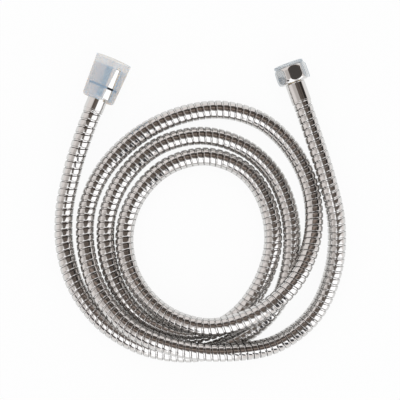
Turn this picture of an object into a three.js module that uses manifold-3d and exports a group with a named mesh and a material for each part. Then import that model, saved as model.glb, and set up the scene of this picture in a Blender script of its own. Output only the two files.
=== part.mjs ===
// Shower hose: an interlocked metal jacket round a plastic inner hose, with a cone nut for the hand
// shower at one end and a hexagon nut for the wall outlet at the other. Both nuts still wear the soft
// plastic guards they are packed with. The hose lies in a loose coil. Millimetres, +Z up.
import * as THREE from 'three';
import { mergeVertices } from 'three/addons/utils/BufferGeometryUtils.js';
import Module from 'manifold-3d';

const wasm = await Module();
wasm.setup();

// Hose
const HOSE_DIAMETER = 14;
const CROWN_HEIGHT = 0.6;
const JACKET_WALL = 0.7;
const INNER_HOSE_WALL = 1.3;
const JACKET_SIDES = 12;
const INNER_HOSE_SIDES = 8;
const ROUTE_STEPS = 80;

// Gap left between pieces that touch
const GAP = 0.3;

// Ferrules
const FERRULE_WALL = 0.4;
const FERRULE_LENGTH = 16;
const FERRULE_LIP = 0.8;

// Hose tails inside the ends
const TAIL_BORE_RADIUS = 3.2;
const TAIL_START = 2;
const TAIL_BARBS = 4;
const BARB_HEIGHT = 0.35;
const NECK_WALL = 1.9;
const FLANGE_THICKNESS = 2;

// Half inch pipe thread, bored to its inside diameter
const THREAD_RADIUS = 9.3;
const THREAD_RELIEF = 0.6;
const THREAD_CHAMFER = 0.8;

// Sealing washers
const WASHER_THICKNESS = 2.2;
const WASHER_HOLE_RADIUS = 5.5;

// Cone nut
const CONE_ANGLE = THREE.MathUtils.degToRad(22.5);
const CONE_NUT_REAR = 10.6;
const CONE_NUT_LENGTH = 25.4;
const CONE_NUT_REAR_RADIUS = 11.5;
const CONE_NUT_FRONT_RADIUS = 12.6;
const CONE_WEB = 2.8;
const CONE_NUT_ROUND = 1.3;
const FERRULE_POCKET_PLAY = 0.7;
const GRIP_GROOVE_PLACE = 8.6;
const GRIP_GROOVE_WIDTH = 1.6;
const GRIP_GROOVE_DEPTH = 0.7;
const SLIP_RING_THICKNESS = 1;

// Slit guard sleeve on the cone nut
const SLEEVE_WALL = 0.7;
const SLEEVE_OVERHANG = 6;
const SLEEVE_RIM = 5.2;
const SLIT_ANGLE = THREE.MathUtils.degToRad(34);
const SLIT_FRONT_WIDTH = 3.6;
const SLIT_REAR_WIDTH = 6.6;

// Hexagon nut
const HEX_ANGLE = THREE.MathUtils.degToRad(19.8);
const HEX_TURN = THREE.MathUtils.degToRad(9);
const HEX_ACROSS_FLATS = 22;
const HEX_CORNER_CUT = 0.85;
const HEX_NUT_LENGTH = 13;
const HEX_WEB = 2.2;
const HEX_DOME_RISE = 1.65;
const HEX_DOME_LENGTH = 3.7;

// Guard cap on the hexagon nut
const CAP_DISC_RADIUS = 11.35;
const CAP_DISC_THICKNESS = 1.7;
const CAP_TURN = THREE.MathUtils.degToRad(1);
const CAP_TONGUES = 3;
const TONGUE_THICKNESS = 0.6;
const TONGUE_ROOT_WIDTH = 4.6;
const TONGUE_WIDTH = 9.4;
const TONGUE_END_WIDTH = 4.4;
const TONGUE_LEAN_LENGTH = 2.5;

// Lie of the coil for a hose of this diameter; a thicker hose spreads it in proportion
const ROUTE_DIAMETER = 14;

// Where the hose leaves each ferrule
const CONE_EXIT = [-81.5, 73.4];
const HEX_EXIT = [77.5, 80.1];

// Centre line of the hose between its ends, from the cone nut's end: three and a half turns, the
// later ones passing over the first in long low humps
const ROUTE = [
  [-86.9, 59.6, 13.5],
  [-92.4, 44.1, 12.2],
  [-97.2, 28.8, 9.9],
  [-103.6, -1.6, 7.6],
  [-103.1, -32.2, 7.2],
  [-93.2, -62.8, 7.1],
  [-71.4, -89.8, 7.1],
  [-38.0, -107.6, 7.1],
  [1.8, -110.4, 7.1],
  [35.6, -95.9, 7.1],
  [59.5, -71.8, 7.1],
  [69.5, -39.9, 7.1],
  [68.8, -6.1, 7.1],
  [57.0, 24.2, 7.1],
  [34.2, 45.8, 7.1],
  [2.3, 55.2, 7.1],
  [-31.0, 47.5, 7.1],
  [-56.6, 25.3, 7.1],
  [-70.5, -4.0, 7.1],
  [-71.3, -34.6, 7.1],
  [-61.3, -64.3, 7.1],
  [-39.9, -87.1, 7.1],
  [-9.4, -96.7, 7.1],
  [21.8, -87.7, 7.1],
  [44.6, -62.3, 7.1],
  [55.8, -28.4, 7.1],
  [50.7, 4.9, 7.1],
  [33.1, 29.0, 7.1],
  [4.6, 39.3, 7.1],
  [-25.6, 31.4, 7.1],
  [-48.3, 8.7, 7.2],
  [-57.8, -21.5, 7.5],
  [-50.8, -53.9, 10.0],
  [-27.5, -79.6, 15.2],
  [6.1, -90.0, 20.7],
  [40.2, -81.2, 22.1],
  [68.0, -59.5, 21.3],
  [84.2, -28.3, 14.2],
  [86.0, 6.7, 8.8],
  [73.8, 39.2, 7.7],
  [50.0, 64.4, 7.3],
  [18.3, 74.9, 7.1],
  [-15.7, 70.5, 7.1],
  [-47.9, 54.6, 7.1],
  [-73.7, 28.7, 7.1],
  [-86.8, -3.0, 7.4],
  [-86.1, -36.8, 8.3],
  [-74.2, -67.7, 13.9],
  [-50.7, -91.9, 19.1],
  [-16.6, -105.4, 21.7],
  [21.1, -108.8, 20.7],
  [58.3, -103.3, 11.1],
  [87.3, -81.0, 8.4],
  [101.9, -47.7, 7.8],
  [104.2, -11.5, 8.4],
  [96.2, 24.0, 10.6],
  [85.0, 58.5, 11.9],
];

// Sizes that follow from the ones above
const jacketRadius = (HOSE_DIAMETER - CROWN_HEIGHT) / 2;
const jacketBoreRadius = jacketRadius - JACKET_WALL;
const innerHoseRadius = jacketBoreRadius - GAP;
const innerHoseBoreRadius = innerHoseRadius - INNER_HOSE_WALL;
const ferruleBoreRadius = HOSE_DIAMETER / 2 + GAP / 3;
const ferruleRadius = ferruleBoreRadius + FERRULE_WALL;
const neckRadius = TAIL_BORE_RADIUS + NECK_WALL;
const neckHoleRadius = neckRadius + GAP;
const barbRadius = innerHoseBoreRadius - GAP;
const reliefRadius = THREAD_RADIUS + THREAD_RELIEF;
const seatRadius = THREAD_RADIUS - GAP;
const hoseInsertion = FERRULE_LENGTH - FERRULE_LIP - GAP;
const coneTaper = (CONE_NUT_FRONT_RADIUS - CONE_NUT_REAR_RADIUS) / CONE_NUT_LENGTH;
const sleeveMouthRadius = CONE_NUT_FRONT_RADIUS + GAP + coneTaper * SLEEVE_OVERHANG;
const hexCornerRadius = HEX_ACROSS_FLATS / 2 / Math.cos(Math.PI / 6) - HEX_CORNER_CUT;
const tongueSeat = hexCornerRadius + GAP;
const tongueRadius = tongueSeat + TONGUE_THICKNESS;

// Both ends lie on their guards, so each guard's radius is its axis height
const coneAxisHeight = sleeveMouthRadius + SLEEVE_WALL;
const hexAxisHeight = tongueRadius;
const spread = HOSE_DIAMETER / ROUTE_DIAMETER;

// Material of one piece
function finish(color, roughness, metalness, opacity = 1) {
  return new THREE.MeshStandardMaterial({ color, roughness, metalness, opacity, transparent: opacity < 1 });
}

const chrome = () => finish(0xd4d2ce, 0.08, 1);
const brass = () => finish(0xc29a4c, 0.35, 1);
const rubber = () => finish(0x1d1d1e, 0.8, 0);
const nylon = () => finish(0xe9e7de, 0.5, 0);
const clearPlastic = () => finish(0xdfe6ec, 0.3, 0, 0.5);

// Geometry with shared corners and nothing but positions
function welded(geometry) {
  geometry.deleteAttribute('normal');
  geometry.deleteAttribute('uv');
  return mergeVertices(geometry, 1e-4);
}

function toSolid(geometry) {
  const shared = welded(geometry);
  return new wasm.Manifold(new wasm.Mesh({
    numProp: 3,
    vertProperties: new Float32Array(shared.attributes.position.array),
    triVerts: new Uint32Array(shared.index.array),
  }));
}

function fromSolid(solid) {
  const mesh = solid.getMesh();
  const geometry = new THREE.BufferGeometry();
  geometry.setAttribute('position', new THREE.BufferAttribute(new Float32Array(mesh.vertProperties), 3));
  geometry.setIndex(new THREE.BufferAttribute(new Uint32Array(mesh.triVerts), 1));
  return geometry;
}

// Solid of revolution about +Y; corners are [radius, place along the axis], outside upwards first
function revolve(corners, segments) {
  const points = corners.map(([radius, place]) => new THREE.Vector2(radius, place));
  points.push(points[0].clone());
  return welded(new THREE.LatheGeometry(points, segments));
}

// Named mesh with its shading
function piece(name, geometry, material) {
  geometry.computeVertexNormals();
  const mesh = new THREE.Mesh(geometry, material);
  mesh.name = name;
  return mesh;
}

// Straight bar of one outline, from z = 0 up
function extrude(outline, depth, curveSegments = 6) {
  return new THREE.ExtrudeGeometry(outline, { depth, bevelEnabled: false, curveSegments });
}

// Regular polygon whose flats lie `apothem` from the centre, as a closed list of points
function polygon(apothem, sides) {
  const corner = apothem / Math.cos(Math.PI / sides);
  return Array.from({ length: sides }, (_, i) => {
    const angle = (2 * Math.PI * i) / sides;
    return new THREE.Vector2(corner * Math.cos(angle), corner * Math.sin(angle));
  });
}

// Centre line of the hose, running on into both ferrules
function hoseLine() {
  const along = (exit, height, angle, place) => new THREE.Vector3(
    exit[0] * spread + place * Math.sin(angle),
    exit[1] * spread + place * Math.cos(angle),
    height,
  );
  return new THREE.CatmullRomCurve3([
    along(CONE_EXIT, coneAxisHeight, CONE_ANGLE, hoseInsertion),
    along(CONE_EXIT, coneAxisHeight, CONE_ANGLE, 0),
    ...ROUTE.map((point) => new THREE.Vector3(...point).multiplyScalar(spread)),
    along(HEX_EXIT, hexAxisHeight, -HEX_ANGLE, 0),
    along(HEX_EXIT, hexAxisHeight, -HEX_ANGLE, hoseInsertion),
  ], false, 'catmullrom', 0.5);
}

// Tube along the hose's line: corners on `radius` outside, flats on `boreRadius` inside
function hoseTube(line, radius, boreRadius, sides) {
  const section = new THREE.Shape(polygon(radius * Math.cos(Math.PI / sides), sides));
  section.holes.push(new THREE.Path(polygon(boreRadius, sides).reverse()));
  return welded(new THREE.ExtrudeGeometry(section, { steps: ROUTE_STEPS, extrudePath: line }));
}

// Thin pressed sleeve that clamps the hose's end, with a lip turned in at the nut's side
function ferrule() {
  const edge = FERRULE_WALL / 2;
  return revolve([
    [ferruleBoreRadius, 0],
    [ferruleRadius - edge, 0],
    [ferruleRadius, edge],
    [ferruleRadius, FERRULE_LENGTH - FERRULE_LIP],
    [ferruleRadius - FERRULE_LIP, FERRULE_LENGTH],
    [neckHoleRadius, FERRULE_LENGTH],
    [neckHoleRadius, FERRULE_LENGTH - FERRULE_LIP],
    [ferruleBoreRadius, FERRULE_LENGTH - FERRULE_LIP],
  ], 32);
}

// Turned hose tail: barbed stem in the inner hose, plain neck through ferrule and nut, and a flange
function hoseTail(flangePlace) {
  const stemEnd = hoseInsertion + GAP;
  const pitch = (stemEnd - TAIL_START) / TAIL_BARBS;
  const root = barbRadius - BARB_HEIGHT;
  const barbs = Array.from({ length: TAIL_BARBS }, (_, i) => [
    [root, TAIL_START + i * pitch],
    [barbRadius, TAIL_START + (i + 0.7) * pitch],
    [root, TAIL_START + (i + 0.8) * pitch],
  ]).flat();
  return revolve([
    [TAIL_BORE_RADIUS, TAIL_START],
    ...barbs,
    [root, stemEnd],
    [neckRadius, stemEnd],
    [neckRadius, flangePlace],
    [seatRadius, flangePlace],
    [seatRadius, flangePlace + FLANGE_THICKNESS],
    [TAIL_BORE_RADIUS, flangePlace + FLANGE_THICKNESS],
  ], 20);
}

// Flat ring that fits through the thread
function ring(boreRadius, place, thickness) {
  return revolve([
    [boreRadius, place],
    [seatRadius, place],
    [seatRadius, place + thickness],
    [boreRadius, place + thickness],
  ], 32);
}

function slipRing(place) {
  return ring(neckHoleRadius, place, SLIP_RING_THICKNESS);
}

function washer(place) {
  return ring(WASHER_HOLE_RADIUS, place, WASHER_THICKNESS);
}

// Places along the cone end's axis, from the hose's exit towards the mouth
const conePlaces = {
  nutRear: CONE_NUT_REAR,
  webRear: FERRULE_LENGTH + GAP,
  get webFront() { return this.webRear + CONE_WEB; },
  get slipRing() { return this.webFront + GAP; },
  get flange() { return this.slipRing + SLIP_RING_THICKNESS + GAP; },
  get washer() { return this.flange + FLANGE_THICKNESS + GAP; },
  get nutFront() { return this.nutRear + CONE_NUT_LENGTH; },
  get mouth() { return this.nutFront + SLEEVE_OVERHANG; },
};

// Radius of the cone nut's tapered outside at a place on its axis
function coneRadiusAt(place) {
  return CONE_NUT_REAR_RADIUS + coneTaper * (place - conePlaces.nutRear);
}

// Corners of a quarter round from the rear face out to the tapered side
function rearRound(place, radius, round, steps) {
  return Array.from({ length: steps + 1 }, (_, i) => {
    const angle = (Math.PI / 2) * (i / steps);
    return [radius - round * (1 - Math.sin(angle)), place + round * (1 - Math.cos(angle))];
  });
}

function coneNut() {
  const { nutRear, webRear, webFront, washer, nutFront } = conePlaces;
  const pocketRadius = ferruleRadius + FERRULE_POCKET_PLAY;
  const grooveRear = nutRear + GRIP_GROOVE_PLACE;
  const grooveFront = grooveRear + GRIP_GROOVE_WIDTH;
  const reliefEnd = washer + WASHER_THICKNESS + GAP;
  const frontRound = CONE_NUT_ROUND / 2;
  return revolve([
    [pocketRadius, nutRear],
    ...rearRound(nutRear, CONE_NUT_REAR_RADIUS, CONE_NUT_ROUND, 4),
    [coneRadiusAt(grooveRear), grooveRear],
    [coneRadiusAt(grooveRear) - GRIP_GROOVE_DEPTH, grooveRear + GRIP_GROOVE_WIDTH / 4],
    [coneRadiusAt(grooveFront) - GRIP_GROOVE_DEPTH, grooveFront - GRIP_GROOVE_WIDTH / 4],
    [coneRadiusAt(grooveFront), grooveFront],
    [CONE_NUT_FRONT_RADIUS, nutFront - frontRound],
    [CONE_NUT_FRONT_RADIUS - frontRound, nutFront],
    [THREAD_RADIUS + THREAD_CHAMFER, nutFront],
    [THREAD_RADIUS, nutFront - THREAD_CHAMFER],
    [THREAD_RADIUS, reliefEnd + THREAD_RELIEF],
    [reliefRadius, reliefEnd],
    [reliefRadius, webFront],
    [neckHoleRadius, webFront],
    [neckHoleRadius, webRear],
    [pocketRadius, webRear],
  ], 36);
}

// Thin tapered guard over the cone nut, slit from its rear up to the rim round its mouth
function coneSleeve() {
  const { nutRear, mouth } = conePlaces;
  const rear = nutRear - GAP - SLEEVE_WALL;
  const boreRear = CONE_NUT_REAR_RADIUS + GAP;
  const boreRound = rearRound(rear + SLEEVE_WALL, boreRear, CONE_NUT_ROUND, 4);
  const outerRound = rearRound(rear, boreRear + SLEEVE_WALL, CONE_NUT_ROUND + SLEEVE_WALL, 5);
  const wall = toSolid(revolve([
    ...outerRound,
    [sleeveMouthRadius + SLEEVE_WALL, mouth],
    [sleeveMouthRadius, mouth],
    ...boreRound.reverse(),
  ], 40));

  const reach = sleeveMouthRadius + 2 * SLEEVE_WALL;
  const outline = new THREE.Shape([
    new THREE.Vector2(-SLIT_REAR_WIDTH / 2, rear - SLEEVE_WALL),
    new THREE.Vector2(SLIT_REAR_WIDTH / 2, rear - SLEEVE_WALL),
    new THREE.Vector2(SLIT_FRONT_WIDTH / 2, mouth - SLEEVE_RIM),
    new THREE.Vector2(-SLIT_FRONT_WIDTH / 2, mouth - SLEEVE_RIM),
  ]);
  const slit = extrude(outline, reach);
  slit.rotateY(SLIT_ANGLE);
  return fromSolid(wall.subtract(toSolid(slit)));
}

// Places along the hexagon end's axis, from the hose's exit towards the mouth
const hexPlaces = {
  nutRear: FERRULE_LENGTH + GAP,
  get webFront() { return this.nutRear + HEX_WEB; },
  get flange() { return this.webFront + GAP; },
  get washer() { return this.flange + FLANGE_THICKNESS + GAP; },
  get nutFront() { return this.nutRear + HEX_NUT_LENGTH; },
  get cap() { return this.nutFront + GAP; },
};

// Hexagon with turned corners and domed chamfers at both ends, bored for thread, washer and neck
function hexNut() {
  const { nutRear, webFront, washer, nutFront } = hexPlaces;
  const middle = (nutRear + nutFront) / 2;
  const straight = HEX_NUT_LENGTH / 2 - HEX_DOME_LENGTH;
  const domeRadius = (HEX_DOME_RISE ** 2 + HEX_DOME_LENGTH ** 2) / (2 * HEX_DOME_RISE);
  const domeSteps = 5;
  const dome = Array.from({ length: domeSteps + 1 }, (_, i) => {
    const out = (HEX_DOME_LENGTH * i) / domeSteps;
    return [hexCornerRadius - domeRadius + Math.sqrt(domeRadius ** 2 - out ** 2), straight + out];
  });
  const barrel = toSolid(revolve([
    [neckHoleRadius, nutRear],
    ...dome.map(([radius, out]) => [radius, middle - out]).reverse(),
    ...dome.map(([radius, out]) => [radius, middle + out]),
    [THREAD_RADIUS + THREAD_CHAMFER / 2, nutFront],
    [THREAD_RADIUS, nutFront - THREAD_CHAMFER / 2],
    [THREAD_RADIUS, washer + WASHER_THICKNESS + GAP + THREAD_RELIEF],
    [reliefRadius, washer + WASHER_THICKNESS + GAP],
    [reliefRadius, webFront],
    [neckHoleRadius, webFront],
  ], 36));

  const outline = new THREE.Shape(polygon(HEX_ACROSS_FLATS / 2, 6));
  const prism = extrude(outline, HEX_NUT_LENGTH + 2 * GAP);
  prism.rotateX(-Math.PI / 2);
  prism.rotateY(HEX_TURN);
  prism.translate(0, nutRear - GAP, 0);
  return fromSolid(barrel.intersect(toSolid(prism)));
}

// Leaf shape of one tongue, [half width, place] from the cap's disc to the nut's rear
function tongueLeaf(root, end) {
  const length = root - end;
  const side = [
    [TONGUE_ROOT_WIDTH / 2, root],
    [TONGUE_WIDTH * 0.43, end + length * 0.68],
    [TONGUE_WIDTH / 2, end + length * 0.42],
    [TONGUE_WIDTH * 0.42, end + length * 0.14],
    [TONGUE_END_WIDTH / 2, end + length * 0.02],
  ];
  const right = side.map(([out, place]) => new THREE.Vector2(out, place));
  const left = side.map(([out, place]) => new THREE.Vector2(-out, place)).reverse();
  const leaf = new THREE.Shape();
  leaf.moveTo(right[0].x, right[0].y);
  leaf.splineThru([...right.slice(1), new THREE.Vector2(0, end), ...left]);
  leaf.closePath();
  return leaf;
}

// Disc over the nut's mouth with leaf shaped tongues that wrap the nut's corners
function hexCap() {
  const { nutRear, cap } = hexPlaces;
  const edge = CAP_DISC_THICKNESS / 4;
  const disc = new THREE.LatheGeometry([
    new THREE.Vector2(0, cap),
    new THREE.Vector2(CAP_DISC_RADIUS - edge, cap),
    new THREE.Vector2(CAP_DISC_RADIUS, cap + edge),
    new THREE.Vector2(CAP_DISC_RADIUS, cap + CAP_DISC_THICKNESS - edge),
    new THREE.Vector2(CAP_DISC_RADIUS - edge, cap + CAP_DISC_THICKNESS),
    new THREE.Vector2(0, cap + CAP_DISC_THICKNESS),
  ], 48);

  const root = cap + CAP_DISC_THICKNESS / 2;
  const lean = cap - TONGUE_LEAN_LENGTH;
  const bell = toSolid(revolve([
    [tongueRadius, nutRear],
    [tongueRadius, lean],
    [CAP_DISC_RADIUS, cap],
    [CAP_DISC_RADIUS - edge, root],
    [CAP_DISC_RADIUS - edge - TONGUE_THICKNESS, root],
    [CAP_DISC_RADIUS - TONGUE_THICKNESS, cap],
    [tongueSeat, lean],
    [tongueSeat, nutRear],
  ], 48));

  let joined = toSolid(disc);
  for (let i = 0; i < CAP_TONGUES; i += 1) {
    const leaf = extrude(tongueLeaf(root, nutRear), tongueRadius + TONGUE_THICKNESS, 2);
    leaf.rotateY(CAP_TURN + Math.PI / 3 + (2 * Math.PI * i) / CAP_TONGUES);
    joined = joined.add(bell.intersect(toSolid(leaf)));
  }
  return fromSolid(joined);
}

// Group whose +Y runs along one end's axis, away from the hose
function endGroup(exit, height, angle, pieces) {
  const group = new THREE.Group();
  group.position.set(exit[0] * spread, exit[1] * spread, height);
  group.rotation.z = angle;
  group.add(...pieces);
  return group;
}

const line = hoseLine();
const showerHose = new THREE.Group();

showerHose.add(
  piece('hose_jacket', hoseTube(line, jacketRadius, jacketBoreRadius, JACKET_SIDES), chrome()),
  piece('inner_hose', hoseTube(line, innerHoseRadius, innerHoseBoreRadius, INNER_HOSE_SIDES), nylon()),
);

showerHose.add(endGroup(CONE_EXIT, coneAxisHeight, -CONE_ANGLE, [
  piece('cone_ferrule', ferrule(), chrome()),
  piece('cone_hose_tail', hoseTail(conePlaces.flange), brass()),
  piece('cone_slip_ring', slipRing(conePlaces.slipRing), nylon()),
  piece('cone_washer', washer(conePlaces.washer), rubber()),
  piece('cone_nut', coneNut(), chrome()),
  piece('cone_sleeve', coneSleeve(), clearPlastic()),
]));

showerHose.add(endGroup(HEX_EXIT, hexAxisHeight, HEX_ANGLE, [
  piece('hex_ferrule', ferrule(), chrome()),
  piece('hex_hose_tail', hoseTail(hexPlaces.flange), brass()),
  piece('hex_washer', washer(hexPlaces.washer), rubber()),
  piece('hex_nut', hexNut(), chrome()),
  piece('hex_cap', hexCap(), clearPlastic()),
]));

// The origin is at floor level under the middle of the whole hose
const box = new THREE.Box3().setFromObject(showerHose, true);
const centre = box.getCenter(new THREE.Vector3());
showerHose.position.set(-centre.x, -centre.y, -box.min.z);

export default showerHose;
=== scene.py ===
"""Looks of a coiled metal shower hose with a cone nut and a hexagon nut. Metres, +Z up."""
import math

import bpy
import numpy as np
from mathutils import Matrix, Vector


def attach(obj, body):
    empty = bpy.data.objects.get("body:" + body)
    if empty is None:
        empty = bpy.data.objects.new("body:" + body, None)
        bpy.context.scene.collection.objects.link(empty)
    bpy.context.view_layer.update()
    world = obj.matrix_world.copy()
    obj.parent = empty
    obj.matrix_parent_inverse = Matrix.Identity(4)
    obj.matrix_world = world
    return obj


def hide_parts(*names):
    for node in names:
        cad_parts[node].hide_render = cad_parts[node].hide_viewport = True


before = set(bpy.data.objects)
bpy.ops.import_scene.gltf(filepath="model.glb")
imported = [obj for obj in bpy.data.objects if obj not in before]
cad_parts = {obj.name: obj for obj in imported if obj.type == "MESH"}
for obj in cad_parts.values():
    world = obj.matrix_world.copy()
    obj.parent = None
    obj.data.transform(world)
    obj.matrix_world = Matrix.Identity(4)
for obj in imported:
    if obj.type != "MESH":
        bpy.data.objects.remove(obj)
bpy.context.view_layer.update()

MM = 0.001

# Camera: straight above the coil, at the photograph's scale
CAMERA_PLACE = (-0.35, 5.85, 950.0)
PIXEL = 0.765
PIXELS = 400
AXIS_LEVEL = 7.0
SENSOR = 36.0

camera_data = bpy.data.cameras.new("camera")
camera_data.sensor_width = SENSOR
camera_data.lens = SENSOR * (CAMERA_PLACE[2] - AXIS_LEVEL) / (PIXEL * PIXELS)
camera_data.clip_start = 0.05
camera_data.clip_end = 20
camera = bpy.data.objects.new("camera", camera_data)
camera.location = Vector(CAMERA_PLACE) * MM
bpy.context.scene.collection.objects.link(camera)
bpy.context.scene.camera = camera
bpy.context.scene.view_settings.view_transform = "Standard"

# Hose, in millimetres. Its line is the CAD model's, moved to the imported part's origin
HOSE_RADIUS = 7.0
SIDES = 32
# The strip's turns sit a little closer where the hose was pushed together: (place along the hose, pitch)
PITCHES = [(0, 5.5), (180, 5.25), (330, 4.97), (1400, 5.03), (1600, 5.32), (1750, 4.92), (1930, 5.25)]
# Section of the wound strip over one pitch: place along the hose, radius, sharp edge or not
STRIP = [
    (0.00, 6.25, True),
    (0.015, 6.78, False),
    (0.04, 6.92, False),
    (0.085, 6.98, False),
    (0.14, 6.993, False),
    (0.40, 7.00, False),
    (0.65, 6.993, False),
    (0.70, 6.98, False),
    (0.75, 6.91, False),
    (0.775, 6.75, True),
    (0.79, 6.20, True),
]
# Width of the painted shade on each side of a turn's start and of its lap, as a share of the pitch
SEAM = 0.06
LAP_SEAM = 0.022
# Distance between the marks at which the strip's turns are counted
MARK_STEP = 0.5
# Turns beyond the hose's ends, so that both ends are cut and not bare
SPARE_TURNS = 3
SHIFT = (-0.3511, -0.1699, 0.0)
CONE_EXIT = (-81.5, 73.4, 13.8598)
CONE_ANGLE = math.radians(22.5)
HEX_EXIT = (77.5, 80.1, 12.7517)
HEX_ANGLE = math.radians(19.8)
INSERTION = 14.9
ROUTE = [
    (-86.9, 59.6, 13.5), (-92.4, 44.1, 12.2), (-97.2, 28.8, 9.9), (-103.6, -1.6, 7.6),
    (-103.1, -32.2, 7.2), (-93.2, -62.8, 7.1), (-71.4, -89.8, 7.1), (-38.0, -107.6, 7.1),
    (1.8, -110.4, 7.1), (35.6, -95.9, 7.1), (59.5, -71.8, 7.1), (69.5, -39.9, 7.1),
    (68.8, -6.1, 7.1), (57.0, 24.2, 7.1), (34.2, 45.8, 7.1), (2.3, 55.2, 7.1),
    (-31.0, 47.5, 7.1), (-56.6, 25.3, 7.1), (-70.5, -4.0, 7.1), (-71.3, -34.6, 7.1),
    (-61.3, -64.3, 7.1), (-39.9, -87.1, 7.1), (-9.4, -96.7, 7.1), (21.8, -87.7, 7.1),
    (44.6, -62.3, 7.1), (55.8, -28.4, 7.1), (50.7, 4.9, 7.1), (33.1, 29.0, 7.1),
    (4.6, 39.3, 7.1), (-25.6, 31.4, 7.1), (-48.3, 8.7, 7.2), (-57.8, -21.5, 7.5),
    (-50.8, -53.9, 10.0), (-27.5, -79.6, 15.2), (6.1, -90.0, 20.7), (40.2, -81.2, 22.1),
    (68.0, -59.5, 21.3), (84.2, -28.3, 14.2), (86.0, 6.7, 8.8), (73.8, 39.2, 7.7),
    (50.0, 64.4, 7.3), (18.3, 74.9, 7.1), (-15.7, 70.5, 7.1), (-47.9, 54.6, 7.1),
    (-73.7, 28.7, 7.1), (-86.8, -3.0, 7.4), (-86.1, -36.8, 8.3), (-74.2, -67.7, 13.9),
    (-50.7, -91.9, 19.1), (-16.6, -105.4, 21.7), (21.1, -108.8, 20.7), (58.3, -103.3, 11.1),
    (87.3, -81.0, 8.4), (101.9, -47.7, 7.8), (104.2, -11.5, 8.4), (96.2, 24.0, 10.6),
    (85.0, 58.5, 11.9),
]


def on_axis(exit_point, angle, place):
    """Point on an end's axis, that far from where the hose leaves it."""
    x, y, z = exit_point
    return (x + place * math.sin(angle), y + place * math.cos(angle), z)


def smooth_line(points, samples=40):
    """Uniform Catmull-Rom curve through the points, finely sampled."""
    p = np.array(points, float)
    p = np.vstack([2 * p[0] - p[1], p, 2 * p[-1] - p[-2]])
    t = np.linspace(0, 1, samples, endpoint=False)[:, None]
    spans = []
    for a, b, c, d in zip(p, p[1:], p[2:], p[3:]):
        spans.append(0.5 * (2 * b + (c - a) * t + (2 * a - 5 * b + 4 * c - d) * t**2
                            + (3 * b - a - 3 * c + d) * t**3))
    return np.vstack(spans + [p[-2:-1]])


def unit(v):
    """The vectors with their lengths made 1."""
    return v / np.linalg.norm(v, axis=-1, keepdims=True)


class Line:
    """Centre line with its length and a frame that doesn't twist about it."""

    def __init__(self, points):
        self.points = points
        steps = np.linalg.norm(np.diff(points, axis=0), axis=1)
        self.place = np.concatenate([[0], np.cumsum(steps)])
        self.length = self.place[-1]
        self.tangent = unit(np.gradient(points, self.place, axis=0))
        self.bend = np.gradient(self.tangent, self.place, axis=0)
        side = np.empty_like(points)
        side[0] = unit(np.cross([0, 0, 1], self.tangent[0]))
        for i in range(1, len(points)):
            s = side[i - 1] - np.dot(side[i - 1], self.tangent[i]) * self.tangent[i]
            side[i] = s / np.linalg.norm(s)
        self.side = side

    def at(self, place):
        """Point, tangent, side, up and bend at each place along the line."""
        def pick(values):
            return np.stack([np.interp(place, self.place, values[:, k]) for k in range(3)], -1)
        tangent = unit(pick(self.tangent))
        side = pick(self.side)
        side = unit(side - (side * tangent).sum(-1, keepdims=True) * tangent)
        return pick(self.points), tangent, side, np.cross(tangent, side), pick(self.bend)


route = [on_axis(CONE_EXIT, CONE_ANGLE, INSERTION), CONE_EXIT, *ROUTE, HEX_EXIT,
         on_axis(HEX_EXIT, -HEX_ANGLE, INSERTION)]
line = Line(smooth_line(np.array(route) + SHIFT))


def make_mesh(name, vertices, faces, uv=None, sharp=None, slots=None):
    """Object from vertices in millimetres. uv is for each face corner, sharp picks the crisp edges and
    slots gives each face's material slot."""
    mesh = bpy.data.meshes.new(name)
    mesh.from_pydata((np.asarray(vertices) * MM).tolist(), [], np.asarray(faces).tolist())
    mesh.polygons.foreach_set("use_smooth", [True] * len(mesh.polygons))
    if uv is not None:
        mesh.uv_layers.new(name="uv").data.foreach_set("uv", uv.astype(np.float32).ravel())
    if sharp is not None:
        ends = np.empty(len(mesh.edges) * 2, np.int32)
        mesh.edges.foreach_get("vertices", ends)
        crisp = mesh.attributes.new("sharp_edge", "BOOLEAN", "EDGE")
        crisp.data.foreach_set("value", sharp(ends.reshape(-1, 2)))
    if slots is not None:
        mesh.polygons.foreach_set("material_index", np.asarray(slots, np.int32))
    shape = bpy.data.objects.new(name, mesh)
    bpy.context.scene.collection.objects.link(shape)
    return shape


def turn_marks():
    """Marks along the hose, the strip's pitch there, and how many turns are wound by then."""
    marks = np.arange(0, line.length, MARK_STEP)
    pitch_at = np.interp(marks, *zip(*PITCHES))
    return marks, pitch_at, np.cumsum(MARK_STEP / pitch_at)


def wound_points(turn, share, radius):
    """Points of the strip at a count of turns, a share of the pitch and a radius, with their places."""
    marks, pitch_at, turn_at = turn_marks()
    centre = np.interp(turn, turn_at, marks, left=0, right=line.length)
    pitch = np.interp(turn, turn_at, pitch_at)
    angle = (2 * np.pi * np.arange(SIDES) / SIDES)[:, None]

    def outward(at):
        point, tangent, side, up, bend = line.at(at)
        return point, side * np.cos(angle) + up * np.sin(angle), bend

    point, out, bend = outward(centre)
    stretch = 1 - HOSE_RADIUS * (bend * out).sum(-1)
    place = np.clip(centre + share * pitch / stretch, 0, line.length)
    point, out, _ = outward(place)
    return (point + out * radius[..., None]).reshape(-1, 3), place.reshape(-1)


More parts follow.
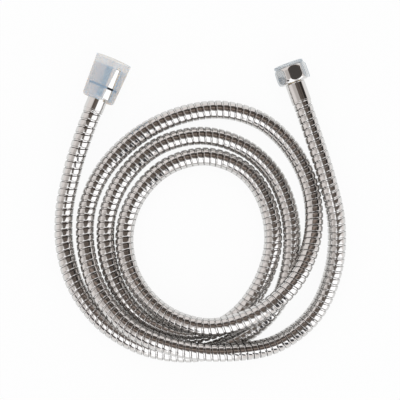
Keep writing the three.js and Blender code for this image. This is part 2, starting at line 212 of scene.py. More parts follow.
def wound_hose(name):
    """The jacket's strip, wound once round the hose for each pitch."""
    rows, turns = len(STRIP), int(turn_marks()[2][-1]) + SPARE_TURNS
    share, radius, crisp_rows = (np.array(column) for column in zip(*STRIP))
    middle = share[-1] / 2
    row, spoke = np.meshgrid(np.arange(turns * rows), np.arange(SIDES), indexing="ij")
    turn = row // rows + spoke / SIDES - 1 + middle
    vertices, place = wound_points(turn, share[row % rows] - middle, radius[row % rows])

    row, spoke = np.meshgrid(np.arange((turns - 1) * rows - 1), np.arange(SIDES), indexing="ij")
    row, spoke = row.ravel(), spoke.ravel()
    here = row * SIDES + spoke
    beside = np.where(spoke == SIDES - 1, (row + rows) * SIDES, here + 1)
    faces = np.stack([here, beside, beside + SIDES, here + SIDES], -1)
    share_of = np.append(share, 1.0)
    low = row // rows + share_of[row % rows]
    high = row // rows + share_of[row % rows + 1]
    uv = np.stack([spoke, low, spoke + 1, low, spoke + 1, high, spoke, high], -1).reshape(-1, 4, 2)
    uv[..., 0] /= SIDES
    spread = place[faces]
    kept = (spread.max(1) > 0) & (spread.min(1) < line.length)

    def sharp(ends):
        first, second = ends[:, 0] // SIDES, ends[:, 1] // SIDES
        return crisp_rows[first % rows] & ((first - second) % rows == 0)

    return make_mesh(name, vertices, faces[kept], uv[kept], sharp)


hose = wound_hose("hose_wound_strip")
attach(hose, "hose")
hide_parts("hose_jacket")


# Colours
CHROME = (0.74, 0.73, 0.715)
CHROME_IN_SHADE = (0.045, 0.05, 0.06)
BRASS = (0.76, 0.58, 0.28)
RUBBER = (0.035, 0.035, 0.036)
NYLON = (0.86, 0.85, 0.81)
LINER = (0.85, 0.84, 0.80)
# Painted shade for the strip's seams, mixed into its base colour
PAINTED_SEAM_SHADE = (0.03, 0.026, 0.024)
FLOOR = (0.86, 0.86, 0.86)
SLEEVE_MILK = (0.22, 0.305, 0.40)
SLEEVE_KEPT = (0.91, 0.945, 1.0)
CAP_MILK = (0.085, 0.10, 0.115)
CAP_KEPT = (0.87, 0.90, 0.92)
# Greyer, less clear plastic for the guards' edges: painted edge shade, standing in for the lines that light
# draws along plastic edges
EDGE_SHADE_MILK = (0.25, 0.275, 0.30)
EDGE_SHADE_KEPT = (0.35, 0.42, 0.5)
NEARLY_CLEAR = (0.98, 0.98, 0.98)

# The clouds that vary a surface hold most of their values between these two
CLOUD_LOW = 0.3
CLOUD_HIGH = 0.7
# Relief is this many times finer than the gloss of the same surface, and this deep in metres
RELIEF_FINENESS = 9
RELIEF_DEPTH = 0.04 * MM
GUARD_GRAIN = 60
MILK_GRAIN = 45


def material(name):
    """New material with its node tree and its Principled shader."""
    made = bpy.data.materials.new(name)
    made.use_nodes = True
    tree = made.node_tree
    return made, tree, tree.nodes["Principled BSDF"]


def node(tree, kind, inputs=(), **settings):
    """New node whose inputs are values or other nodes' sockets."""
    made = tree.nodes.new(kind)
    for key, value in settings.items():
        setattr(made, key, value)
    for key, value in dict(inputs).items():
        if isinstance(value, bpy.types.NodeSocket):
            tree.links.new(value, made.inputs[key])
        else:
            made.inputs[key].default_value = value
    return made


def math_node(tree, operation, *values, **settings):
    """What a sum of numbers or sockets gives."""
    made = node(tree, "ShaderNodeMath", enumerate(values), operation=operation, **settings)
    return made.outputs[0]


def vector_node(tree, operation, *values):
    """Node of a sum with vectors, whose result is a vector or a value."""
    return node(tree, "ShaderNodeVectorMath", enumerate(values), operation=operation)


def show(tree, shader):
    """Make a shader node the one that the material shows."""
    tree.links.new(shader.outputs[0], tree.nodes["Material Output"].inputs["Surface"])


def cloud(tree, grain, detail=4.0):
    """Soft cloud in the object's own space."""
    where = node(tree, "ShaderNodeTexCoord").outputs["Object"]
    noise = node(tree, "ShaderNodeTexNoise", {"Vector": where, "Scale": grain, "Detail": detail})
    return noise.outputs["Fac"]


def mixed(tree, share, first, second):
    """Colour between two others, each a colour or a socket."""
    first, second = (c if isinstance(c, bpy.types.NodeSocket) else (*c, 1) for c in (first, second))
    mix = node(tree, "ShaderNodeMixRGB", {"Fac": share, "Color1": first, "Color2": second})
    return mix.outputs["Color"]


def drifting(tree, share, colour, shade):
    """Colour that drifts from place to place towards a shade of itself."""
    return mixed(tree, share, colour, [c * shade for c in colour])


def ranged(tree, value, start, end, low, high, **settings):
    """The value's range from start to end, carried over to low and high."""
    limits = {"Value": value, "From Min": start, "From Max": end, "To Min": low, "To Max": high}
    return node(tree, "ShaderNodeMapRange", limits, **settings).outputs["Result"]


def relief(tree, grain, strength):
    """Normal of a surface with a fine relief."""
    height = cloud(tree, grain * RELIEF_FINENESS, 3.0)
    bump = {"Height": height, "Strength": strength, "Distance": RELIEF_DEPTH}
    return node(tree, "ShaderNodeBump", bump).outputs["Normal"]


def surface(name, colour, low, high, grain, strength, metallic=0.0, shade=0.94):
    """Principled surface whose roughness and tint vary a little from place to place."""
    made, tree, shader = material(name)
    shader.inputs["Metallic"].default_value = metallic
    share = cloud(tree, grain)
    tree.links.new(drifting(tree, share, colour, shade), shader.inputs["Base Color"])
    tree.links.new(ranged(tree, share, CLOUD_LOW, CLOUD_HIGH, low, high), shader.inputs["Roughness"])
    tree.links.new(relief(tree, grain, strength), shader.inputs["Normal"])
    return made


def strip_metal():
    """Plated strip with painted shade along the seams between its turns."""
    made = surface("strip_metal", CHROME, 0.05, 0.12, 90, 0.12, metallic=1)
    tree = made.node_tree
    base = tree.nodes["Principled BSDF"].inputs["Base Color"]
    across = node(tree, "ShaderNodeSeparateXYZ", {"Vector": node(tree, "ShaderNodeUVMap").outputs["UV"]})
    turn = math_node(tree, "FRACT", across.outputs["Y"])
    # Painted shade: the base colour darkens near each turn's start and near its lap
    seams = []
    for place, width in ((0.0, SEAM), (STRIP[-1][0], LAP_SEAM), (1.0, SEAM)):
        off = math_node(tree, "ABSOLUTE", math_node(tree, "SUBTRACT", turn, place))
        seams.append(ranged(tree, off, width * 0.5, width, 1.0, 0.0))
    dark = math_node(tree, "MAXIMUM", math_node(tree, "MAXIMUM", seams[0], seams[1]), seams[2])
    tree.links.new(mixed(tree, dark, base.links[0].from_socket, PAINTED_SEAM_SHADE), base)
    return made


def milky_plastic(name, milk, kept, gloss):
    """Thin milky plastic. The milk turns a share of each colour back and lets as much through as a soft
    glow. The rest, times what is kept, passes straight on."""
    made, tree, shader = material(name)
    tree.nodes.remove(shader)
    share = cloud(tree, MILK_GRAIN)
    rough = ranged(tree, cloud(tree, GUARD_GRAIN), CLOUD_LOW, CLOUD_HIGH, 0.12, 0.2)
    normal = relief(tree, GUARD_GRAIN, 0.2)
    glow = drifting(tree, share, milk, 0.93)
    passed = drifting(tree, share, [k * (1 - 2 * m) for k, m in zip(kept, milk)], 1.01)
    back = node(tree, "ShaderNodeBsdfDiffuse", {"Color": glow, "Normal": normal})
    on = node(tree, "ShaderNodeBsdfTranslucent", {"Color": glow, "Normal": normal})
    straight = node(tree, "ShaderNodeBsdfTransparent", {"Color": passed})
    milky = node(tree, "ShaderNodeAddShader", {0: back.outputs[0], 1: on.outputs[0]})
    body = node(tree, "ShaderNodeAddShader", {0: milky.outputs[0], 1: straight.outputs[0]})
    shine = node(tree, "ShaderNodeBsdfGlossy", {"Color": (1, 1, 1, 1), "Roughness": rough, "Normal": normal})
    show(tree, node(tree, "ShaderNodeMixShader", {0: gloss, 1: body.outputs[0], 2: shine.outputs[0]}))
    return made


def clear_plastic(name, colour):
    """Inner face of a guard: light passes with hardly a trace of tint."""
    made, tree, shader = material(name)
    tree.nodes.remove(shader)
    tint = drifting(tree, cloud(tree, GUARD_GRAIN), colour, 0.98)
    show(tree, node(tree, "ShaderNodeBsdfTransparent", {"Color": tint}))
    return made


fitting_metal = surface("fitting_metal", CHROME, 0.04, 0.09, 60, 0.05, metallic=1)
turned_brass = surface("turned_brass", BRASS, 0.22, 0.34, 120, 0.3, metallic=1)
washer_rubber = surface("washer_rubber", RUBBER, 0.6, 0.75, 150, 0.5)
slip_plastic = surface("slip_plastic", NYLON, 0.4, 0.5, 100, 0.2)
liner_plastic = surface("liner_plastic", LINER, 0.35, 0.45, 80, 0.2)
# Painted shade: dark chrome on the cone nut's groove, where shade falls
groove_painted_shade = surface("groove_painted_shade", CHROME_IN_SHADE, 0.4, 0.5, 60, 0.1, metallic=1)
sleeve_plastic = milky_plastic("sleeve_plastic", SLEEVE_MILK, SLEEVE_KEPT, 0.04)
guard_inside = clear_plastic("guard_inside", NEARLY_CLEAR)
# Painted edge shade on the sleeve's lip and slit sides, the tongues' edges and the cap's groove and rims
guard_painted_edge = milky_plastic("guard_painted_edge", EDGE_SHADE_MILK, EDGE_SHADE_KEPT, 0.05)
cap_plastic = milky_plastic("cap_plastic", CAP_MILK, CAP_KEPT, 0.05)
hose.data.materials.append(strip_metal())


# Both ends, in millimetres. Places run along an end's axis from where the hose leaves it
CONE_END = (np.array(CONE_EXIT) + SHIFT, CONE_ANGLE)
HEX_END = (np.array(HEX_EXIT) + SHIFT, -HEX_ANGLE)
GAP = 0.3
# Small rounds on turned and moulded edges
FINE = 0.1
SOFT = 0.15
BROKEN = 0.2

FERRULE_LENGTH = 16.0
FERRULE_LIP = 0.8
FERRULE_BORE = 7.1
FERRULE_RADIUS = 7.5
# Bead near the ferrule's rim: where it starts and ends, its rise over the rim and the groove behind it
BEAD_START = 0.45
BEAD_END = 0.95
BEAD_RISE = 0.08
BEAD_GROOVE = 0.2

TAIL_BORE = 3.2
TAIL_START = 2.0
STEM = 4.1
BARB_HEIGHT = 0.35
BARBS = 4
NECK = 5.1
NECK_HOLE = NECK + GAP
FLANGE_THICKNESS = 2.0

THREAD = 9.3
THREAD_ROOT = 10.35
THREAD_PITCH = 1.814
THREAD_RUN_OUT = 0.8
THREAD_COLUMNS = 72
# Free length of the socket behind and in front of its thread
THREAD_START = 0.2
THREAD_INSET = 0.4
# Section of the thread over one pitch: share of the pitch, radius
THREAD_SECTION = [
    (0.0, THREAD_ROOT),
    (0.12, THREAD_ROOT),
    (0.44, THREAD),
    (0.56, THREAD),
    (0.88, THREAD_ROOT),
]
SOCKET_WALL = THREAD_ROOT + 0.05
SOCKET_MOUTH = THREAD_ROOT + 0.2
RELIEF = 9.9
RELIEF_STEP = 0.6
SEAT = THREAD - GAP
WASHER_HOLE = 5.5
WASHER_THICKNESS = 2.2
SLIP_RING_THICKNESS = 1.0

CONE_REAR = 10.6
CONE_FRONT = 36.0
CONE_REAR_RADIUS = 11.5
CONE_FRONT_RADIUS = 12.6
CONE_ROUND = 1.3
CONE_TAPER = (CONE_FRONT_RADIUS - CONE_REAR_RADIUS) / (CONE_FRONT - CONE_REAR)
CONE_WEB = 2.8
POCKET = FERRULE_RADIUS + 0.7
GROOVE_PLACE = 8.6
GROOVE_WIDTH = 1.6
GROOVE_DEPTH = 0.7
GROOVE_SIDE = 0.3

MOUTH = 42.0
MOUTH_RADIUS = 13.86
SLEEVE_WALL = 0.7
SLEEVE_RIM = 5.2
SLEEVE_REAR = CONE_REAR - GAP - SLEEVE_WALL / 2
SLEEVE_COLUMNS = 120
LIP_HALF = 0.22
SLIT_ANGLE = math.radians(34)
SLIT_FRONT_WIDTH = 3.6
SLIT_REAR_WIDTH = 6.6
SLIT_END = MOUTH - SLEEVE_RIM
SLIT_ROUND = 1.0
LEAST_SLIT = 1e-4

WEB_REAR = FERRULE_LENGTH + GAP
HEX_LENGTH = 13.0
HEX_FRONT = WEB_REAR + HEX_LENGTH
HEX_WEB = 2.2
HEX_FLATS = 11.0
HEX_CORNER = 11.8517
HEX_FACE = 9.9
HEX_TURN = math.radians(9)
HEX_DOME_RISE = 1.65
HEX_DOME_LENGTH = 3.7
HEX_DOME_ROWS = 64
HEX_COLUMNS = 360
HEX_EDGE = 0.12

# Places inside the two nuts: one piece in front of the other, with a clearance between them
CONE_WEB_FRONT = WEB_REAR + CONE_WEB
CONE_SLIP_RING = CONE_WEB_FRONT + GAP
CONE_FLANGE = CONE_SLIP_RING + SLIP_RING_THICKNESS + GAP
CONE_WASHER = CONE_FLANGE + FLANGE_THICKNESS + GAP
CONE_RELIEF_END = CONE_WASHER + WASHER_THICKNESS + GAP
HEX_WEB_FRONT = WEB_REAR + HEX_WEB
HEX_FLANGE = HEX_WEB_FRONT + GAP
HEX_WASHER = HEX_FLANGE + FLANGE_THICKNESS + GAP
HEX_RELIEF_END = HEX_WASHER + WASHER_THICKNESS + GAP

CAP = HEX_FRONT + GAP
CAP_THICKNESS = 1.7
CAP_RADIUS = 11.35
CAP_LINE = 0.2
CAP_LINE_HALF = 0.16
CAP_RIM_HALF = 0.12
CAP_RIM_DEPTH = 0.35
CAP_DISH = 0.3
CAP_DISH_RADIUS = 9.3
TONGUES = 3
TONGUE_TURN = math.radians(61)
TONGUE_WALL = 0.6
TONGUE_SEAT = 12.15
TONGUE_LEAN = 2.5
TONGUE_SIDES = 40
TONGUE_EDGE = 3
TONGUE_TIP = 0.02
# A tongue's half width at shares of its length, from its root to its tip
LEAF = [(2.3, 1.0), (4.04, 0.68), (4.7, 0.42), (3.95, 0.14), (2.2, 0.02), (TONGUE_TIP, 0.0)]

# Material slots of a guard
OUTER_FACE = 0
INNER_FACE = 1
EDGE_FACE = 2

# Extra points this far beyond each round keep the flats beside it flat in smooth shading
HOLD = 0.04
# Corners nearly straight, as half their angle, stay as they are
NEARLY_STRAIGHT = 1.55


def rounded(corners, steps=5):
    """Closed section with its corners rounded; a corner is (radius, place, size of the round)."""
    section = []
    for i, (radius, place, size) in enumerate(corners):
        here = np.array([radius, place])
        back = unit(np.array(corners[i - 1][:2]) - here)
        on = unit(np.array(corners[(i + 1) % len(corners)][:2]) - here)
        half = math.acos(np.clip(back @ on, -1, 1)) / 2
        if size == 0 or half > NEARLY_STRAIGHT:
            section.append(here)
            continue
        reach = size / math.tan(half)
        centre = here + unit(back + on) * size / math.sin(half)
        section.append(here + back * (reach + HOLD))
        for share in np.linspace(0, 1, steps + 1):
            arm = (here + back * reach - centre) * (1 - share) + (here + on * reach - centre) * share
            section.append(centre + unit(arm) * size)
        section.append(here + on * (reach + HOLD))
    return np.array(section)


def placed(end, radius, place, angle):
    """Points at a radius and place on an end's axis; angle 0 is straight up and grows to the right."""
    origin, heading = end
    axis = np.array([math.sin(heading), math.cos(heading), 0])
    right = np.array([math.cos(heading), -math.sin(heading), 0])
    up = np.array([0, 0, 1.0])
    radius, place, angle = (v[..., None] for v in np.broadcast_arrays(radius, place, angle))
    return origin + axis * place + radius * (right * np.sin(angle) + up * np.cos(angle))


def grid_faces(rows, columns, closed_rows=True, closed_columns=True):
    """Quads over a grid of vertices, rows along the section and columns round the axis."""
    i = np.arange(rows if closed_rows else rows - 1)
    j = np.arange(columns if closed_columns else columns - 1)
    i, j = (v.ravel() for v in np.meshgrid(i, j, indexing="ij"))
    below, beside = (i + 1) % rows, (j + 1) % columns
    corners = (i, j), (i, beside), (below, beside), (below, j)
    return np.stack([row * columns + column for row, column in corners], -1)


def dress(shape, body, slot, finishes, *nodes):
    """The piece moves with a body, stands for CAD nodes, and has its materials. Its slot is not used."""
    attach(shape, body)
    if nodes:
        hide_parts(*nodes)
    for finish in finishes:
        shape.data.materials.append(finish)


def turned(name, end, section, columns=96, closed=True, marked=None):
    """Solid of revolution from a section of (radius, place); marked picks rows for the second material."""
    angle = 2 * np.pi * np.arange(columns) / columns
    vertices = placed(end, section[:, :1], section[:, 1:], angle[None])
    faces = grid_faces(len(section), columns, closed_rows=closed)
    slots = None if marked is None else marked(*section.T)[faces[:, 0] // columns]
    return make_mesh(name, vertices.reshape(-1, 3), faces, slots=slots)


def ferrule(name, end):
    """Pressed sleeve on the hose's end with a fine bead near its rim."""
    lip = FERRULE_LENGTH - FERRULE_LIP
    return turned(name, end, rounded([
        (FERRULE_BORE, 0.0, 0.05),
        (FERRULE_RADIUS - BEAD_RISE, 0.0, 0.12),
        (FERRULE_RADIUS, BEAD_START, FINE),
        (FERRULE_RADIUS, BEAD_END, FINE),
        (FERRULE_RADIUS - BEAD_GROOVE, BEAD_END + BEAD_GROOVE, BEAD_RISE),
        (FERRULE_RADIUS - BEAD_GROOVE, BEAD_END + 2 * BEAD_GROOVE, BEAD_RISE),
        (FERRULE_RADIUS, BEAD_END + 3 * BEAD_GROOVE, FINE),
        (FERRULE_RADIUS, FERRULE_LENGTH, FERRULE_LIP),
        (NECK_HOLE, FERRULE_LENGTH, FINE),
        (NECK_HOLE, lip, FINE),
        (FERRULE_BORE, lip, FINE),
    ]))


def hose_tail(name, end, flange):
    """Turned tail with a barbed stem, a plain neck and a flange."""
    stem_end = FERRULE_LENGTH - FERRULE_LIP
    pitch = (stem_end - TAIL_START) / BARBS
    root = STEM - BARB_HEIGHT
    barbs = [corner for i in range(BARBS) for corner in (
        (root, TAIL_START + i * pitch, 0.05),
        (STEM, TAIL_START + (i + 0.7) * pitch, 0.04),
        (root, TAIL_START + (i + 0.8) * pitch, 0.04),
    )]
    return turned(name, end, rounded([
        (TAIL_BORE, TAIL_START, FINE),
        *barbs,
        (root, stem_end, 0.05),
        (NECK, stem_end, BROKEN),
        (NECK, flange, BROKEN),
        (SEAT, flange, BROKEN),
        (SEAT, flange + FLANGE_THICKNESS, BROKEN),
        (TAIL_BORE, flange + FLANGE_THICKNESS, 0.3),
    ]), 64)


def flat_ring(name, end, bore, place, thickness):
    """Flat ring that fits through the thread."""
    return turned(name, end, rounded([
        (bore, place, SOFT),
        (SEAT, place, SOFT),
        (SEAT, place + thickness, SOFT),
        (bore, place + thickness, SOFT),
    ]), 64)


def socket_corners(web_rear, web_front, relief_end, front):
    """Corners of a nut's inside, from its front face back to its rear web."""
    return [
        (SOCKET_MOUTH, front, SOFT),
        (SOCKET_WALL, front - 0.5, FINE),
        (SOCKET_WALL, relief_end + RELIEF_STEP, FINE),
        (RELIEF, relief_end, FINE),
        (RELIEF, web_front, BROKEN),
        (NECK_HOLE, web_front, SOFT),
        (NECK_HOLE, web_rear, SOFT),
    ]


def pipe_thread(name, end, start, stop):
    """Right-handed helical thread on the wall of a socket."""
    columns, rows = THREAD_COLUMNS, len(THREAD_SECTION)
    share, depth = np.array(THREAD_SECTION).T
    turns = int((stop - start) / THREAD_PITCH) + 2
    row, column = np.meshgrid(np.arange(turns * rows), np.arange(columns + 1), indexing="ij")
    place = start + (row // rows - 1 + share[row % rows] + column / columns) * THREAD_PITCH
    full = np.clip(np.minimum(place - start, stop - place) / THREAD_RUN_OUT, 0, 1)
    radius = THREAD_ROOT + (depth[row % rows] - THREAD_ROOT) * full
    place = np.clip(place, start, stop)
    vertices = placed(end, radius, place, 2 * np.pi * column / columns)
    faces = grid_faces(turns * rows, columns + 1, closed_rows=False, closed_columns=False)[:, ::-1]
    spread = np.ptp(place.reshape(-1)[faces], axis=1)
    return make_mesh(name, vertices.reshape(-1, 3), faces[spread > 1e-6])


def cone_nut():
    """Tapered nut with a grip groove round it."""
    groove = CONE_REAR + GROOVE_PLACE
    crest = CONE_REAR_RADIUS + CONE_TAPER * GROOVE_PLACE
    floor_radius = crest - GROOVE_DEPTH

    # Faces of the groove that get the painted shade
    def in_groove(radius, place):
        outside = (radius > SOCKET_MOUTH) & (radius < crest - BROKEN)
        return outside & (place > groove) & (place < groove + GROOVE_WIDTH - FINE)

    return turned("cone_nut_smooth", CONE_END, rounded([
        (POCKET, CONE_REAR, 0.3),
        (CONE_REAR_RADIUS, CONE_REAR, CONE_ROUND),
        (crest, groove, SOFT),
        (floor_radius, groove + GROOVE_SIDE, BROKEN),
        (floor_radius, groove + GROOVE_WIDTH - GROOVE_SIDE, BROKEN),
        (crest + CONE_TAPER * GROOVE_WIDTH, groove + GROOVE_WIDTH, SOFT),
        (CONE_FRONT_RADIUS, CONE_FRONT, 0.7),
        *socket_corners(WEB_REAR, CONE_WEB_FRONT, CONE_RELIEF_END, CONE_FRONT),
        (POCKET, WEB_REAR, BROKEN),
    ]), 128, marked=in_groove)


def sleeve_middle():
    """Middle line of the sleeve's wall from its rounded rear to its mouth, as radius and place."""
    start = CONE_REAR_RADIUS + GAP + SLEEVE_WALL / 2
    stop = MOUTH_RADIUS - SLEEVE_WALL / 2
    bend = CONE_REAR - GAP + CONE_ROUND
    size = CONE_ROUND + SLEEVE_WALL / 2
    turn = np.linspace(0, math.pi / 2, 9)[:-1]
    curve = np.stack([start - size * (1 - np.sin(turn)), SLEEVE_REAR + size * (1 - np.cos(turn))], -1)
    place = np.concatenate([
        np.linspace(bend, SLIT_END - SLIT_ROUND, 14),
        np.linspace(SLIT_END - 0.9 * SLIT_ROUND, SLIT_END, 13),
        np.linspace(SLIT_END + 0.4, MOUTH - 0.1, 6),
    ])
    radius = start + (stop - start) * (place - bend) / (MOUTH - bend)
    return np.vstack([curve, np.stack([radius, place], -1)])


def slit_half_angle(section):
    """Half the angle that the slit takes from each row of the sleeve, none in front of its rounded end."""
    radius, place = section.T
    share = (place - SLEEVE_REAR) / (SLIT_END - SLEEVE_REAR)
    width = SLIT_REAR_WIDTH + (SLIT_FRONT_WIDTH - SLIT_REAR_WIDTH) * share
    into_end = np.clip((place - (SLIT_END - SLIT_ROUND)) / SLIT_ROUND, 0, 1)
    width = width * np.sqrt(1 - into_end**2)
    return np.arcsin(np.clip(width / 2 / radius, 0, 1))


def cone_sleeve():
    """Thin milky guard, slit from its rear up to the rim round its mouth."""
    middle = sleeve_middle()
    along = np.gradient(middle, axis=0)
    normal = unit(np.stack([along[:, 1], -along[:, 0]], -1))
    outer, inner = middle + normal * SLEEVE_WALL / 2, middle - normal * SLEEVE_WALL / 2
    lip = [(MOUTH_RADIUS - SLEEVE_WALL / 2 + side, MOUTH) for side in (LIP_HALF, -LIP_HALF)]
    tuck = [(inner[0, 0] - FINE, SLEEVE_REAR + FINE), (outer[0, 0] - FINE, SLEEVE_REAR - FINE)]
    section = np.vstack([outer, lip, inner[::-1], tuck])

    half = slit_half_angle(section)
    ring = SLEEVE_COLUMNS + 1
    share = np.arange(ring) / SLEEVE_COLUMNS
    angle = SLIT_ANGLE + half[:, None] + (2 * np.pi - 2 * half[:, None]) * share
    vertices = placed(CONE_END, section[:, :1], section[:, 1:], angle)
    faces = grid_faces(len(section), ring, closed_columns=False)

    count = len(middle)
    row = faces[:, 0] // ring
    # The lip and the slit's sides get the painted edge shade
    is_lip = (row >= count - 1) & (row <= count + 1)
    is_inside = (row >= count + 2) & (row <= 2 * count)
    slots = np.select([is_lip, is_inside], [EDGE_FACE, INNER_FACE], OUTER_FACE).tolist()
    sides = []
    for k in range(count - 1):
        if half[k] > LEAST_SLIT:
            corners = [k, k + 1, 2 * count - k, 2 * count + 1 - k]
            sides.append([r * ring for r in corners])
            sides.append([r * ring + SLEEVE_COLUMNS for r in corners[::-1]])
    return make_mesh("cone_sleeve_milky", vertices.reshape(-1, 3), faces.tolist() + sides,
                     slots=slots + [EDGE_FACE] * len(sides))


def hexagon_nut():
    """Hexagon with turned corners and domed chamfers."""
    sweep = (HEX_DOME_RISE**2 + HEX_DOME_LENGTH**2) / (2 * HEX_DOME_RISE)
    middle = (WEB_REAR + HEX_FRONT) / 2
    straight = (HEX_FRONT - WEB_REAR) / 2 - HEX_DOME_LENGTH
    side = np.linspace(WEB_REAR + 0.25, HEX_FRONT - 0.25, HEX_DOME_ROWS)
    out = np.clip(np.abs(side - middle) - straight, 0, None)
    barrel = HEX_CORNER - sweep + np.sqrt(sweep**2 - out**2)
    section = rounded([
        (NECK_HOLE, WEB_REAR, SOFT),
        (HEX_FACE, WEB_REAR, FINE),
        *((float(radius), place, 0) for radius, place in zip(barrel, side)),
        (HEX_FACE, HEX_FRONT, FINE),
        *socket_corners(WEB_REAR, HEX_WEB_FRONT, HEX_RELIEF_END, HEX_FRONT)[:-1],
    ])
    angle = 2 * np.pi * np.arange(HEX_COLUMNS) / HEX_COLUMNS
    to_flat = (angle - HEX_TURN + np.pi / 6) % (np.pi / 3) - np.pi / 6
    flat = HEX_FLATS / np.cos(to_flat)[None]
    radius = np.broadcast_to(section[:, :1], (len(section), HEX_COLUMNS))
    share = np.clip(0.5 + (flat - radius) / (2 * HEX_EDGE), 0, 1)
    radius = flat * (1 - share) + radius * share - HEX_EDGE * share * (1 - share)
    vertices = placed(HEX_END, radius, section[:, 1:], angle[None])
    return make_mesh("hex_nut_smooth", vertices.reshape(-1, 3), grid_faces(len(section), HEX_COLUMNS))


def cap_disc():
    """Thin disc over the nut's mouth, with a fine groove round it and a shallow dish in front."""
    edge, front = CAP + CAP_THICKNESS / 2, CAP + CAP_THICKNESS
    section = rounded([
        (0, CAP, 0),
        (CAP_RADIUS, CAP, 0.3),
        (CAP_RADIUS, edge - 0.25, 0.06),
        (CAP_RADIUS - CAP_LINE, edge - 0.1, 0.06),
        (CAP_RADIUS - CAP_LINE, edge + 0.1, 0.06),
        (CAP_RADIUS, edge + 0.25, 0.06),
        (CAP_RADIUS, front, 0.3),
        (CAP_DISH_RADIUS + CAP_DISH, front, 0.2),
        (CAP_DISH_RADIUS, front - CAP_DISH, 0.2),
        (0, front - CAP_DISH, 0),
    ])

    # The groove's faces and the outermost rims get the painted edge shade
    def painted_edge_lines(radius, place):
        groove = np.abs(place - edge) < CAP_LINE_HALF
        rims = np.minimum(np.abs(place - CAP), np.abs(place - front)) < CAP_RIM_HALF
        outermost = radius > CAP_RADIUS - CAP_RIM_DEPTH
        return (radius > CAP_DISH_RADIUS - CAP_DISH) & (groove | (rims & outermost))

    return turned("hex_cap_disc", HEX_END, section, closed=False, marked=painted_edge_lines)


def fuller(wave, power):
    """A sine or cosine drawn out towards its ends, which makes a fuller section than a circle's."""
    return np.sign(wave) * np.abs(wave) ** power


def cap_tongue(name, turn):
    """Leaf shaped tongue from the cap's disc round a corner of the nut."""
    length = CAP + CAP_THICKNESS / 2 - WEB_REAR
    lean = CAP - TONGUE_LEAN
    leaf = smooth_line([(half, WEB_REAR + share * length) for half, share in LEAF], samples=9)
    half, place = np.maximum(leaf[:, 0], TONGUE_TIP), leaf[:, 1]
    rise = np.clip((place - lean) / (CAP - lean), 0, 1)
    seat = TONGUE_SEAT - (TONGUE_SEAT - CAP_RADIUS + TONGUE_WALL) * rise**2 * (3 - 2 * rise)
    thick = np.minimum(TONGUE_WALL / 2, half)
    around = np.linspace(0, 2 * np.pi, TONGUE_SIDES, endpoint=False)
    across = fuller(np.cos(around), 0.4) * half[:, None]
    radius = seat[:, None] + TONGUE_WALL / 2 + fuller(np.sin(around), 0.5) * thick[:, None]
    angle = turn - across / (TONGUE_SEAT + TONGUE_WALL / 2)
    vertices = placed(HEX_END, radius, place[:, None], angle)
    faces = grid_faces(len(leaf), TONGUE_SIDES, closed_rows=False)
    column = faces[:, 0] % TONGUE_SIDES
    # Columns along both of the tongue's edges get the painted edge shade
    is_edge = (column + TONGUE_EDGE) % (TONGUE_SIDES // 2) < 2 * TONGUE_EDGE
    is_inside = column >= TONGUE_SIDES // 2
    slots = np.select([is_edge, is_inside], [EDGE_FACE, INNER_FACE], OUTER_FACE)
    return make_mesh(name, vertices.reshape(-1, 3), faces, slots=slots)


# Pieces on the hose
dress(ferrule("cone_ferrule_smooth", CONE_END), "hose", "fittings", [fitting_metal], "cone_ferrule")
dress(ferrule("hex_ferrule_smooth", HEX_END), "hose", "fittings", [fitting_metal], "hex_ferrule")
dress(hose_tail("cone_tail_turned", CONE_END, CONE_FLANGE), "hose", "tails", [turned_brass],
      "cone_hose_tail")
dress(hose_tail("hex_tail_turned", HEX_END, HEX_FLANGE), "hose", "tails", [turned_brass], "hex_hose_tail")
inner_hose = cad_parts["inner_hose"]
inner_hose.data.materials.clear()
inner_hose.data.materials.append(liner_plastic)

# Rings inside the nuts
dress(flat_ring("cone_slip_ring_smooth", CONE_END, NECK_HOLE, CONE_SLIP_RING, SLIP_RING_THICKNESS),
      "hand_shower_nut", "slip_ring", [slip_plastic], "cone_slip_ring")
dress(flat_ring("cone_washer_smooth", CONE_END, WASHER_HOLE, CONE_WASHER, WASHER_THICKNESS),
      "hand_shower_nut", "seals", [washer_rubber], "cone_washer")
dress(flat_ring("hex_washer_smooth", HEX_END, WASHER_HOLE, HEX_WASHER, WASHER_THICKNESS),
      "wall_outlet_nut", "seals", [washer_rubber], "hex_washer")

# Nut for the hand shower, with its guard
dress(cone_nut(), "hand_shower_nut", "fittings", [fitting_metal, groove_painted_shade], "cone_nut")
dress(pipe_thread("cone_nut_thread", CONE_END, CONE_RELIEF_END + THREAD_START, CONE_FRONT - THREAD_INSET),
      "hand_shower_nut", "fittings", [fitting_metal])
dress(cone_sleeve(), "hand_shower_nut", "guards", [sleeve_plastic, guard_inside, guard_painted_edge],
      "cone_sleeve")

# Nut for the wall outlet, with its guard
dress(hexagon_nut(), "wall_outlet_nut", "fittings", [fitting_metal], "hex_nut")
dress(pipe_thread("hex_nut_thread", HEX_END, HEX_RELIEF_END + THREAD_START, HEX_FRONT - THREAD_INSET),
      "wall_outlet_nut", "fittings", [fitting_metal])
dress(cap_disc(), "wall_outlet_nut", "guards", [cap_plastic, guard_painted_edge], "hex_cap")
for number in range(TONGUES):
    tongue = cap_tongue(f"hex_cap_tongue_{number + 1}", TONGUE_TURN + 2 * math.pi / TONGUES * number)
    dress(tongue, "wall_outlet_nut", "guards", [cap_plastic, guard_inside, guard_painted_edge], "hex_cap")


# Floor
FLOOR_REACH = 8.0
FLOOR_DROP = 0.0002
# Share of plain white in the floor as the camera and clear things see it, and as metal mirrors it
WHITE = 0.93
MIRRORED = 0.8


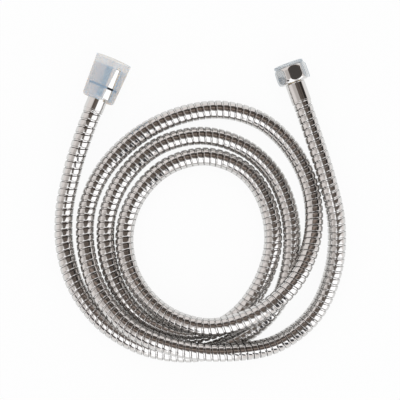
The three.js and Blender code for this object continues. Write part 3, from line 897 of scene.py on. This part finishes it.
def floor_material():
    """Pale floor that keeps its shadows, seen as nearly white."""
    made, tree, shader = material("floor_white")
    shader.inputs["Base Color"].default_value = (*FLOOR, 1)
    shader.inputs["Roughness"].default_value = 0.8
    ray = node(tree, "ShaderNodeLightPath").outputs
    mirrored = math_node(tree, "MULTIPLY", ray["Is Glossy Ray"], MIRRORED)
    direct = math_node(tree, "ADD", ray["Is Camera Ray"], mirrored)
    shown = math_node(tree, "ADD", direct, ray["Is Transmission Ray"], use_clamp=True)
    share = math_node(tree, "MULTIPLY", shown, WHITE)
    white = node(tree, "ShaderNodeEmission", {"Color": (1, 1, 1, 1), "Strength": 1.0})
    show(tree, node(tree, "ShaderNodeMixShader", {0: share, 1: shader.outputs[0], 2: white.outputs[0]}))
    return made


floor_mesh = bpy.data.meshes.new("floor")
floor_corners = [(x * FLOOR_REACH, y * FLOOR_REACH, 0) for x, y in ((-1, -1), (1, -1), (1, 1), (-1, 1))]
floor_mesh.from_pydata(floor_corners, [], [(0, 1, 2, 3)])
floor = bpy.data.objects.new("floor", floor_mesh)
floor.location.z = -FLOOR_DROP
bpy.context.scene.collection.objects.link(floor)
floor.data.materials.append(floor_material())

# Studio
PLAIN_LIGHT = (0.97, 0.97, 0.98)
SKY = (0.92, 0.87, 0.855)
# What polished faces mirror. Each patch is an ellipse in the tilt of the mirroring face: (centre to the
# right, centre to the far side, half length, half width, turn in degrees, colour, softness of its edge).
# Later patches cover earlier ones
PATCHES = [
    (-0.24, -0.03, 0.22, 0.15, -10, (0.60, 0.56, 0.54), 0.5),
    (0.0, -0.42, 0.40, 0.22, 90, (1.5, 1.5, 1.53), 0.15),
    (0.51, -0.27, 0.38, 0.19, -27, (1.5, 1.5, 1.53), 0.15),
    (0.27, -0.31, 0.24, 0.05, -49, (0.04, 0.04, 0.045), 0.35),
    (-0.33, -0.365, 0.21, 0.08, -36, (0.02, 0.02, 0.025), 0.25),
    (0.17, 0.228, 0.395, 0.283, 4, (0.02, 0.02, 0.02), 0.05),
    (0.17, 0.19, 0.37, 0.235, 4, (0.135, 0.108, 0.093), 0.08),
    (0.16, 0.31, 0.30, 0.03, 6, (0.03, 0.028, 0.026), 0.3),
    (0.12, 0.19, 0.26, 0.04, 4, (0.36, 0.29, 0.255), 0.6),
    (0.07, -0.08, 0.12, 0.09, -40, (0.17, 0.15, 0.135), 0.4),
    (0.44, 0.16, 0.10, 0.14, 20, (0.03, 0.028, 0.026), 0.30),
    (0.186, 0.106, 0.045, 0.045, 0, (0.08, 0.072, 0.068), 0.3),
]


def patch_mask(tree, tilt, right, far, half_length, half_width, turn, edge):
    """1 inside one patch and 0 outside it, with a soft edge."""
    offset = vector_node(tree, "SUBTRACT", tilt, (right, far, 0)).outputs[0]
    lengthwise = (math.cos(turn) / half_length, math.sin(turn) / half_length, 0)
    crosswise = (-math.sin(turn) / half_width, math.cos(turn) / half_width, 0)
    parts = [vector_node(tree, "DOT_PRODUCT", offset, way).outputs["Value"]
             for way in (lengthwise, crosswise)]
    flat = node(tree, "ShaderNodeCombineXYZ", {"X": parts[0], "Y": parts[1]}).outputs[0]
    away = vector_node(tree, "LENGTH", flat).outputs["Value"]
    return ranged(tree, away, 1 - edge, 1 + edge, 1.0, 0.0, interpolation_type="SMOOTHSTEP")


def studio():
    """World that lights everything plainly and gives polished faces something to mirror."""
    world = bpy.data.worlds.new("studio")
    world.use_nodes = True
    tree = world.node_tree
    heading = node(tree, "ShaderNodeTexCoord").outputs["Generated"]
    halfway = vector_node(tree, "ADD", heading, (0, 0, 1)).outputs[0]
    tilt = vector_node(tree, "NORMALIZE", halfway).outputs[0]
    colour = SKY
    for right, far, half_length, half_width, turn, paint, edge in PATCHES:
        mask = patch_mask(tree, tilt, right, far, half_length, half_width, math.radians(turn), edge)
        colour = mixed(tree, mask, colour, paint)
    ray = node(tree, "ShaderNodeLightPath").outputs
    shaped = math_node(tree, "MAXIMUM", ray["Is Glossy Ray"], ray["Is Transmission Ray"])
    light = mixed(tree, shaped, PLAIN_LIGHT, colour)
    tree.links.new(light, tree.nodes["Background"].inputs["Color"])
    return world


bpy.context.scene.world = studio()
